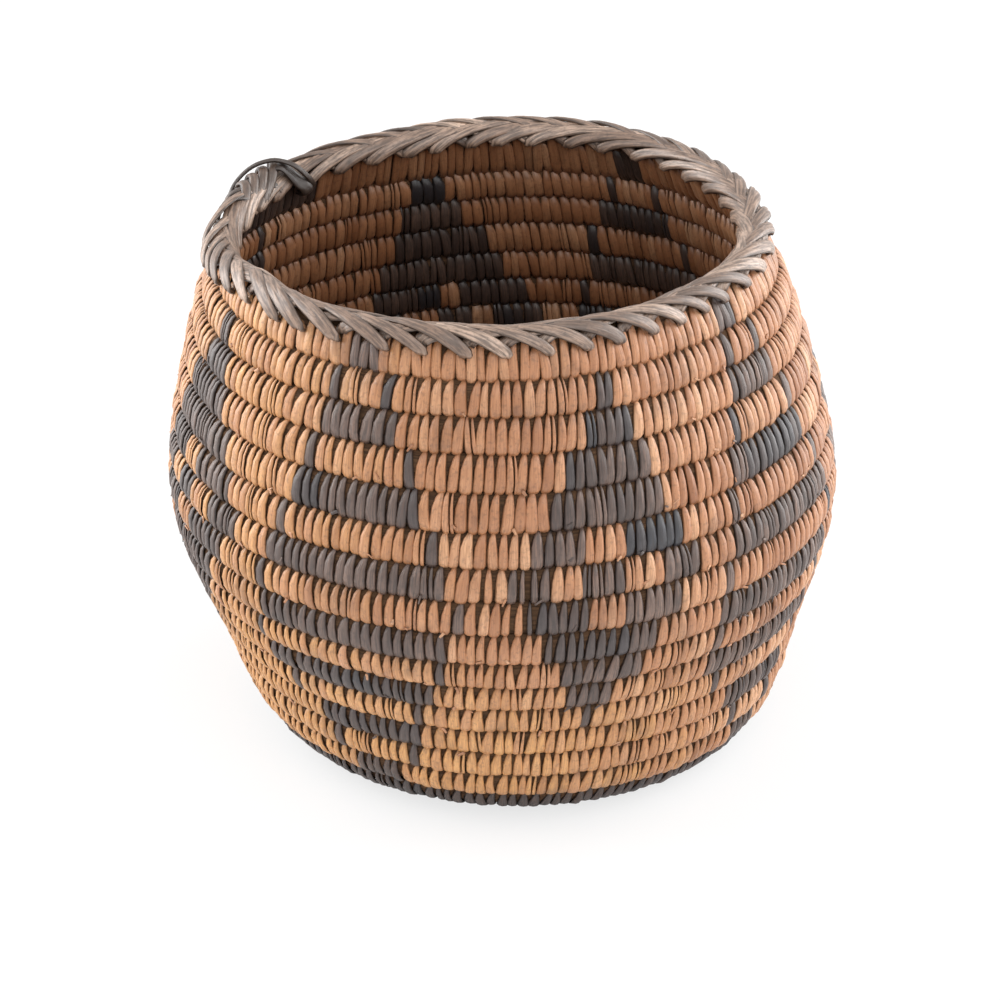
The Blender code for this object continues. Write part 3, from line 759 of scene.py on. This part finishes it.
def plaitRim():
    # legs of both sets: the angle runs with the reach, bunched at the crest by a cosine ease; the
    # lift changes side at the crest as a tanh; past its holes a leg dives by 1 - sqrt(1 - fold^2)
    # into the wall, and its end is rounded by sqrt(1 - (round fold)^2)
    legs, fold, ease = rim["holes"], rim["foldReach"], rim["ease"]
    grids, legTones = [], []
    legSets = zip(rim["steps"], rim["widths"], rim["outerReach"], rim["innerReach"], (-1, 1))
    for step, width, outer, inner, over in legSets:
        reach = np.concatenate([
            np.linspace(-outer - fold, -outer, rim["foldStations"], endpoint=False),
            np.linspace(-outer, inner, rim["stations"]),
            np.linspace(inner, inner + fold, rim["foldStations"] + 1)[1:]])
        folded = np.clip(np.maximum(-outer - reach, reach - inner) / fold, 0, 1)
        dive = rim["foldDepth"] * (1 - np.sqrt(1 - folded ** 2))
        share = np.clip((reach + outer) / (outer + inner), 0, 1)
        run = (1 - ease) * share + ease * (0.5 - 0.5 * np.cos(np.pi * share))
        profile = np.interp(reach, rim["widthStations"], rim["widthShares"])
        profile = profile * np.sqrt(1 - (rim["foldRound"] * folded) ** 2)
        holes = np.arange(legs) + rng.normal(0, rim["holeSpread"], legs)
        start = rim["firstHole"] + holePitch * holes
        spread = rng.normal(0, rim["reachSpread"], legs)
        turn = (start[:, None] + holePitch * step * run - basket["coilEndAngle"]) / 360
        drawnIn = np.clip((rim["tuckFrom"] - reach) / (outer + rim["tuckFrom"]), 0, 1)
        lift = over * rim["layer"] * np.tanh(reach / rim["changeover"]) - dive
        lift = lift - rim["tuck"] * drawnIn ** 2
        even, slow, quick = rng.normal(0, rim["wobble"], (legs, 3)).T[:, :, None]
        slowWave, quickWave = (np.sin(waves * share) for waves in rim["wobbleWaves"])
        lift = lift + even + slow * slowWave + quick * quickWave
        points, normals = saddle(turn, reach + spread[:, None] * np.sin(np.pi * share), lift)
        widths = width * rng.normal(1, rim["widthSpread"], legs)[:, None] * profile
        grids.append(splintGrid(points, normals, widths, rim["thick"], over * rim["roll"]))
        legTones.append(drawTones(rim, legs))
    grid = np.concatenate(grids)
    # painted shade: each leg darkens where it folds into the wall
    endShade = np.broadcast_to(folded, grid.shape[:2])  # the two sets fold at the same stations
    uv, paint = splintPaint(grid, np.concatenate(legTones), endShade)
    makeBands("claw_rim_braid", grid, uv, paint, False, wornClaw, ["rim_braid"])
    print(f"rim plaited: {len(grid)} legs")


plaitRim()

# The lashing over the rim's end: its strands, as places in degrees from +X, reach round the rim from
# outside (negative) to inside, and mm of lift, with each strand's width in mm. The wraps and the
# crossing strands repeat at these shifts in degrees, each one a little lower
lashing = {
    "arch": {
        "width": 1.3, "tone": 0.1, "shade": 0.8,
        "places": ((158.6, -86, -2.2), (157.2, -74, 0.0), (155.6, -66, 1.0), (153.8, -58, 1.8),
                   (151.7, -42, 2.6), (150.4, -30, 3.1), (149.0, -20, 3.4), (147.0, -8, 3.5),
                   (145.0, 4, 3.0), (143.8, 18, 3.0), (141.7, 40, 2.5), (139.6, 60, 1.6),
                   (138.8, 76, 0.3), (138.4, 92, -2.2))},
    "strip": {
        "width": 3.0, "tone": 0.0, "shade": 1.0,
        "places": ((147.6, -14, 1.2), (146.2, 0, 2.2), (144.7, 20, 1.6), (143.4, 44, 1.5),
                   (142.0, 62, 2.1), (141.0, 76, 1.6), (140.2, 92, -2.2))},
    "wraps": {
        "width": 2.1, "tone": 0.25, "shade": 0.55, "shifts": (0.0, 3.4, 6.8, 10.4), "lower": 0.3,
        "places": ((141.5, -104, -2.4), (143.2, -76, 0.4), (144.6, -44, 1.9), (146.0, -18, 2.4),
                   (148.4, 2, 1.7), (150.6, 22, 0.8), (153.2, 42, 0.5), (154.8, 62, 0.1),
                   (155.8, 90, -2.6))},
    "crossing": {
        "width": 2.0, "tone": 0.15, "shade": 0.75, "shifts": (0.0, 4.4, 8.6), "lower": 0.2,
        "places": ((157.0, -92, -2.6), (155.4, -56, 0.4), (153.2, -20, 0.9), (151.0, 8, 0.7),
                   (149.0, 34, 0.4), (147.2, 60, -0.1), (146.0, 92, -2.8))},
    "thick": 0.95, "stations": 40, "toneSpread": 0.1,
}


def smoothCurve(knots, count):
    # Catmull-Rom through the knots: with tangents half of next - previous, the cubic
    # (2t^3 - 3t^2 + 1) a + (t^3 - 2t^2 + t) ta + (3t^2 - 2t^3) b + (t^3 - t^2) tb
    knots = np.array(knots, float)
    tangents = np.gradient(knots, axis=0)
    place = np.linspace(0, len(knots) - 1, count)
    first = np.minimum(place.astype(int), len(knots) - 2)
    t = (place - first)[:, None]
    return ((2 * t ** 3 - 3 * t ** 2 + 1) * knots[first] + (t ** 3 - 2 * t ** 2 + t) * tangents[first]
            + (3 * t ** 2 - 2 * t ** 3) * knots[first + 1] + (t ** 3 - t ** 2) * tangents[first + 1])


def lashRim():
    # each strand is a splint along a smooth curve through its places on the rim's oval; its ends
    # darken as the sixth power of the way from its middle
    strands = []
    for kind in (lashing["arch"], lashing["strip"]):
        strands.append((kind["places"], kind["width"], kind["tone"], kind["shade"]))
    for kind in (lashing["wraps"], lashing["crossing"]):
        for number, shift in enumerate(kind["shifts"]):
            lower = kind["lower"] * number
            moved = [(angle + shift, reach, lift - lower) for angle, reach, lift in kind["places"]]
            tone = kind["tone"] + rng.normal(0, lashing["toneSpread"])
            strands.append((moved, kind["width"], tone, kind["shade"]))
    strandPlaces, strandWidths, strandTones, strandShades = zip(*strands)
    stations = lashing["stations"]
    grids = []
    for places, width in zip(strandPlaces, strandWidths):
        angle, reach, lift = smoothCurve(places, stations).T
        points, normals = saddle((angle - basket["coilEndAngle"]) / 360, reach, lift)
        widths = np.full((1, stations), width)
        grids.append(splintGrid(points[None], normals[None], widths, lashing["thick"]))
    grid = np.concatenate(grids)
    # painted shade: each strand darkens towards its ends, where it goes into the wall, and as a whole by
    # its shade
    endShade = np.maximum(np.abs(np.linspace(-1, 1, stations)) ** 6, np.array(strandShades)[:, None])
    uv, paint = splintPaint(grid, np.clip(strandTones, 0, 1), endShade)
    makeBands("claw_rim_end_lashing", grid, uv, paint, False, wornClaw, ["rim_end_lashing"])
    print(f"rim end lashed: {len(grid)} strands")


lashRim()

# The start knot: two crossing sets of splints, each wound flat round the thickness of the base
knot = {"splints": 4, "radius": 4.9, "inset": 0.35, "weave": 0.24, "thick": 0.5, "fill": 0.94,
        "square": 5.0, "stations": 48, "under": 0.05, "tone": 0.5, "toneSpread": 0.15}


def plaitKnot():
    # superellipse |s/h|^5 + |z/c|^5 = 1 across the chord of each splint's place, drawn in by a cosine
    # that alternates with the crossings, so that one set goes over where the other goes under
    count = knot["splints"]
    pitch = 2 * knot["radius"] / count
    place = (np.arange(count) - (count - 1) / 2) * pitch
    chord = np.sqrt(knot["radius"] ** 2 - (np.abs(place) + knot["inset"] * pitch) ** 2)
    half = basket["wall"] / 2
    power = 2 / knot["square"]
    angle = np.linspace(0, 2 * np.pi, knot["stations"])
    sine, cosine = np.sin(angle), np.cos(angle)
    zero = np.zeros_like(sine)
    across = chord[:, None] * np.sign(cosine) * np.abs(cosine) ** power
    fixed = np.broadcast_to(place[:, None], across.shape)
    widths = np.full(across.shape, pitch * knot["fill"])
    grids = []
    for turned in (0, 1):
        parity = np.cos(np.pi * (across / pitch + 0.5 + np.arange(count)[:, None] + turned))
        drawnIn = knot["weave"] * (1 + parity) + knot["thick"] / 2 + knot["under"]
        height = half + (half - drawnIn) * np.sign(sine) * np.abs(sine) ** power
        points = np.stack([across, fixed, height] if turned else [fixed, across, height], -1)
        outward = np.stack([cosine, zero, sine] if turned else [zero, cosine, sine], -1)
        outward = np.broadcast_to(outward, points.shape)
        grids.append(splintGrid(points, outward, widths, knot["thick"]))
    grid = np.concatenate(grids)
    grid[..., 2] = np.maximum(grid[..., 2], basket["overFloor"])
    uv, paint = splintPaint(grid, drawTones(knot, len(grid)), np.zeros(grid.shape[:2]))
    makeBands("claw_start_knot", grid, uv, paint, False, claw, ["start_knot"])
    print("start knot plaited")


plaitKnot()

# What fills the coil's middle: a core inside the knot and the wedge beside the coil's start, each as
# its inner radius and half height. These, the reach, round and along are mm
heart = {"parts": ((0.2, 1.5), (4.4, 2.25)), "reach": 0.6, "round": 12, "along": 34,
         "rings": 61, "sides": 12, "tone": 0.5}


def fillHeart():
    # ellipses along the coil's first lap, each from the inner radius to the lap's inner edge + reach
    rings, sides = heart["rings"], heart["sides"]
    turn = np.linspace(basket["coilStart"] - 1, basket["coilStart"], rings)
    edge = outlineArc[-1] - lowerEdge(turn) + heart["reach"]
    direction = np.stack([np.cos(turnAngle(turn)), np.sin(turnAngle(turn))], -1)[:, None]
    angle = np.linspace(0, 2 * np.pi, sides, endpoint=False)
    grid = np.zeros((len(heart["parts"]), rings, sides, 3))
    for part, (inner, half) in zip(grid, heart["parts"]):
        radius = (edge + inner)[:, None] / 2 + (edge - inner)[:, None] / 2 * np.cos(angle)
        part[..., :2] = radius[..., None] * direction
        part[..., 2] = basket["wall"] / 2 + half * np.sin(angle)
    across = np.linspace(0, heart["round"], sides + 1)
    along = np.linspace(0, heart["along"], rings)[:, None]
    uv, paint = bandMarks(across, along, np.full((len(grid), 1, 1), heart["tone"]))
    makeBands("claw_knot_heart", grid, uv, paint, False, claw, ["start_knot"])
    print("coil's middle filled")


fillHeart()

# Loose ends: stubs of splint that were trimmed where a new one starts, at the foot of a stitch outside
stub = {
    "count": 300, "turns": (1.0, 13.0), "stations": 4,
    "long": (0.8, 1.7), "wide": (0.35, 0.8), "thick": 0.25, "tip": 0.7,  # mm, and width at its tip
    "out": 0.82, "down": (0.72, 0.95),  # its foot on the course, as shares of the half sizes
    "slant": 1.2, "upward": 0.6,  # radians to each side, and how steeply those that point up do
    "stand": 0.22, "footStand": 0.3,  # mm off the course, and the share of that at its foot
    "halfStitch": 1.0,  # degrees
    "tone": 0.62, "toneSpread": 0.2,
}


def trimEnds():
    # straight stubs from the lower outer edge of the course, which lift away as the square of the share
    count, stations = stub["count"], stub["stations"]
    turn = rng.uniform(*stub["turns"], count)
    centre, outward, up, forward, halfThick, halfWide = courseSection(turn)
    share = np.linspace(0, 1, stations)[None, :, None]
    slant = rng.uniform(-stub["slant"], stub["slant"], count)[:, None]
    steep = rng.choice((1, -stub["upward"]), count)[:, None]
    way = unit(forward * np.sin(slant) - up * np.cos(slant) * steep)
    down = halfWide * rng.uniform(*stub["down"], count)
    start = centre + outward * (halfThick * stub["out"])[:, None] - up * down[:, None]
    length = rng.uniform(*stub["long"], count)[:, None, None]
    stand = outward[:, None] * stub["stand"] * (stub["footStand"] + share ** 2)
    points = start[:, None] + way[:, None] * length * share + stand
    widths = rng.uniform(*stub["wide"], count)[:, None] * np.linspace(1, stub["tip"], stations)[None]
    normals = np.broadcast_to(outward[:, None], points.shape)
    grid = splintGrid(points, normals, widths, stub["thick"])
    angle = np.degrees(turnAngle(turn)) % 360
    dark = darkStitches(np.floor(turn).astype(int) + 1, angle, stub["halfStitch"])
    for isDark, finish, slotName, word in wallSplints:
        mine = dark == isDark
        tone = drawTones(stub, mine.sum())
        uv, paint = splintPaint(grid[mine], tone, np.zeros((mine.sum(), stations)))
        makeBands(f"{word}_loose_ends", grid[mine], uv, paint, False, finish, None)
    print(f"loose ends trimmed: {count}")


trimEnds()

# Camera at the photograph's angle: lengths in mm, roll in degrees, focal length in pixels
view = {"place": (0.0, -631.6, 375.6), "aim": (-3.73, 0.0, 45.84), "roll": 0.21,
        "focal": 3443.0, "pixels": 1000.0, "sensor": 36.0, "nearest": 10.0, "furthest": 20000.0}


def addCamera():
    # looks from its place at the aim, rolled about that line
    place = np.array(view["place"])
    ahead = unit(np.array(view["aim"]) - place)
    right = unit(np.cross(ahead, [0, 0, 1]))
    above = np.cross(right, ahead)
    sine, cosine = np.sin(np.radians(view["roll"])), np.cos(np.radians(view["roll"]))
    right, above = right * cosine + above * sine, above * cosine - right * sine
    lens = bpy.data.cameras.new("camera")
    lens.sensor_width = view["sensor"]
    lens.lens = view["sensor"] * view["focal"] / view["pixels"]
    lens.clip_start = view["nearest"] * mm
    lens.clip_end = view["furthest"] * mm
    camera = addToScene("camera", lens)
    turned = Matrix([list(right), list(above), list(-ahead)]).transposed().to_4x4()
    camera.matrix_world = Matrix.Translation(Vector(place * mm)) @ turned
    bpy.context.scene.camera = camera


addCamera()

# Plain pale floor and soft studio light, in metres and watts
studio = {
    "worldStrength": 0.68, "floorSize": 6.0, "paper": 0.9, "paperRoughness": 0.9,
    "floorGlow": 0.75,  # how much of the floor the camera sees as plain white
    "lampAim": (0, 0, 0.05),
    "lamps": (("key", (0.3, -0.8, 1.0), 0.9, 5.0), ("left softbox", (-0.75, 0.22, 0.35), 0.8, 9.5),
              ("right softbox", (0.75, 0.28, 0.35), 0.8, 9.0)),  # name, place, size and power
}


def lightWorld():
    # white where the camera or a gloss sees it, and dimmer for the light that falls on the basket
    world = bpy.data.worlds.new("studio")
    bpy.context.scene.world = world
    world.use_nodes = True
    tree = world.node_tree
    background = tree.nodes["Background"]
    path = node(tree, "ShaderNodeLightPath")
    seen = node(tree, "ShaderNodeMath",
                {0: path.outputs["Is Camera Ray"], 1: path.outputs["Is Glossy Ray"]}, operation="MAXIMUM")
    strength = node(tree, "ShaderNodeMapRange", {0: seen.outputs[0], 3: studio["worldStrength"], 4: 1.0})
    background.inputs["Color"].default_value = (1, 1, 1, 1)
    tree.links.new(strength.outputs[0], background.inputs["Strength"])


def layFloor():
    # white paper, which the camera sees partly as plain white, so that the shadow stays soft
    size = studio["floorSize"] / 2
    mesh = bpy.data.meshes.new("floor")
    corners = [(-size, -size, 0), (size, -size, 0), (size, size, 0), (-size, size, 0)]
    mesh.from_pydata(corners, [], [(0, 1, 2, 3)])
    floor = addToScene("floor", mesh)
    paper = bpy.data.materials.new("white paper backdrop")
    paper.use_nodes = True
    tree = paper.node_tree
    shader = tree.nodes["Principled BSDF"]
    shader.inputs["Base Color"].default_value = (studio["paper"], studio["paper"], studio["paper"], 1)
    shader.inputs["Roughness"].default_value = studio["paperRoughness"]
    camera = node(tree, "ShaderNodeLightPath").outputs["Is Camera Ray"]
    share = node(tree, "ShaderNodeMath", {0: camera, 1: studio["floorGlow"]}, operation="MULTIPLY")
    glow = node(tree, "ShaderNodeEmission", {"Color": (1, 1, 1, 1), "Strength": 1.0})
    mixed = node(tree, "ShaderNodeMixShader",
                 {0: share.outputs[0], 1: shader.outputs[0], 2: glow.outputs[0]})
    tree.links.new(mixed.outputs[0], tree.nodes["Material Output"].inputs["Surface"])
    mesh.materials.append(paper)


def hangLamps():
    # soft square lamps, each turned to the aim
    for name, place, wide, watts in studio["lamps"]:
        lamp = bpy.data.lights.new(name, "AREA")
        lamp.energy = watts
        lamp.size = wide
        holder = addToScene(name, lamp)
        holder.location = place
        ahead = Vector(studio["lampAim"]) - holder.location
        holder.rotation_euler = ahead.to_track_quat("-Z", "Y").to_euler()


bpy.context.scene.view_settings.view_transform = "Standard"
lightWorld()
layFloor()
hangLamps()
print("studio set up")
